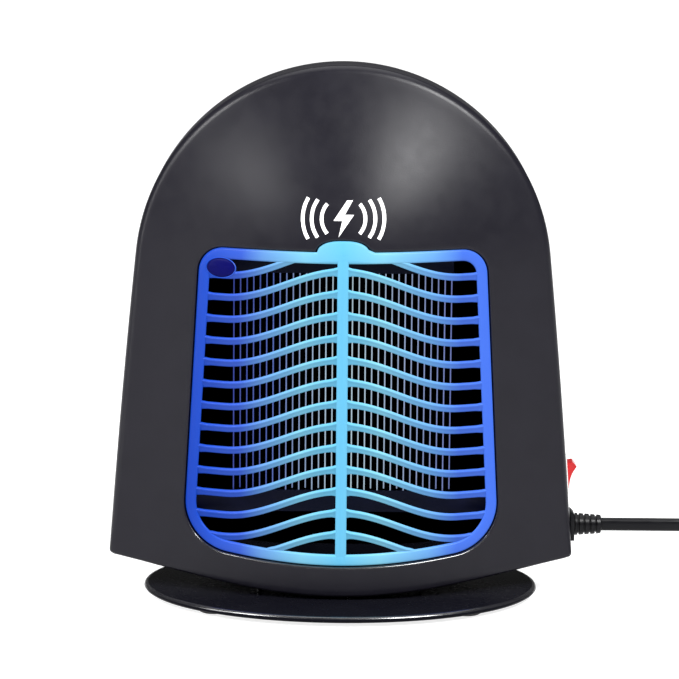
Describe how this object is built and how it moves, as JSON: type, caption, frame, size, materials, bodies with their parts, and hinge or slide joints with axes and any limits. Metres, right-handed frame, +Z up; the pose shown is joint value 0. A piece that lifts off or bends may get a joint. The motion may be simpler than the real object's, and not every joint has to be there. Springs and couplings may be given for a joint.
{
  "type": "electric bug zapper",
  "caption": "Tabletop insect killer: pillow-shaped black housing on an oval foot, hinged blue grille, wire grid, blacklight lamp, drawer, rocker switch and mains lead.",
  "frame": {"origin": "on the table, under the middle of the oval foot", "axes": "+Z up, -Y out of the grille, +X to the side with the rocker switch and the lead"},
  "size_m": [0.4128, 0.1538, 0.2755],
  "materials": {
    "housing_black": "satin, finely textured",
    "gloss_black": "gloss",
    "pad_rubber": "matt",
    "grille_blue": "smooth, translucent",
    "cap_navy": "smooth",
    "interior_black": "satin",
    "ivory_plastic": "matt",
    "grid_steel": "bright drawn wire",
    "lamp_glass": "smooth, dark violet",
    "screw_steel": "dull zinc",
    "rocker_red": "gloss",
    "board_green": "solder mask",
    "film_yellow": "tape wrapped",
    "copper_brown": "varnished",
    "sleeve_black": "satin",
    "cord_black": "satin",
    "blade_brass": "plated"
  },
  "bodies": {
    "housing": {"front_shell": "housing_black", "rear_shell": "housing_black", "foot_disc": "gloss_black", "foot_pad_1": "pad_rubber", "foot_pad_2": "pad_rubber", "foot_pad_3": "pad_rubber", "foot_pad_4": "pad_rubber", "interlock_switch": "interior_black", "zap_chamber": "interior_black", "lower_rail": "interior_black", "upper_rail": "interior_black", "return_comb": "grid_steel", "live_comb": "grid_steel", "lamp_tube": "lamp_glass", "lamp_cap": "interior_black", "lamp_socket": "interior_black", "lamp_clip": "screw_steel", "rocker_housing": "ivory_plastic", "circuit_board": "board_green", "step_up_transformer": "film_yellow", "film_capacitor_1": "copper_brown", "film_capacitor_2": "copper_brown", "smoothing_capacitor": "sleeve_black", "ballast_choke": "copper_brown", "fuse": "ivory_plastic", "diode_1": "sleeve_black", "diode_2": "sleeve_black", "diode_3": "sleeve_black", "terminal_block": "ivory_plastic", "strain_relief": "cord_black", "cord_run": "cord_black", "cord_coil": "cord_black", "cord_tail": "cord_black", "plug_body": "cord_black", "plug_blade_1": "blade_brass", "plug_blade_2": "blade_brass", "shell_screw_1": "screw_steel", "shell_screw_2": "screw_steel", "shell_screw_3": "screw_steel", "shell_screw_4": "screw_steel", "shell_screw_5": "screw_steel", "foot_screw_1": "screw_steel", "foot_screw_2": "screw_steel", "foot_screw_3": "screw_steel", "foot_screw_4": "screw_steel", "board_screw_1": "screw_steel", "board_screw_2": "screw_steel"},
    "rocker": {"rocker": "rocker_red"},
    "grille": {"front_grille": "grille_blue", "interlock_plug": "cap_navy"},
    "drawer": {"collection_tray": "gloss_black"},
    "plunger": {"interlock_plunger": "ivory_plastic"}
  },
  "joints": [
    {"name": "rocker_tilt", "type": "hinge", "parent": "housing", "child": "rocker", "pos_m": [0.11625, 0.014, 0.06141], "axis": [0, -1, 0], "range_deg": [0, 45]},
    {"name": "grille_tip", "type": "hinge", "parent": "housing", "child": "grille", "pos_m": [0, -0.042, 0.0234], "axis": [1, 0, 0], "range_deg": [0, 75]},
    {"name": "drawer_slide", "type": "slide", "parent": "housing", "child": "drawer", "axis": [0, 1, 0], "range_m": [0, 0.045]},
    {"name": "plunger_press", "type": "slide", "parent": "housing", "child": "plunger", "axis": [0, 1, 0], "range_m": [0, 0.0015], "stiffness_N_per_m": 100}
  ]
}
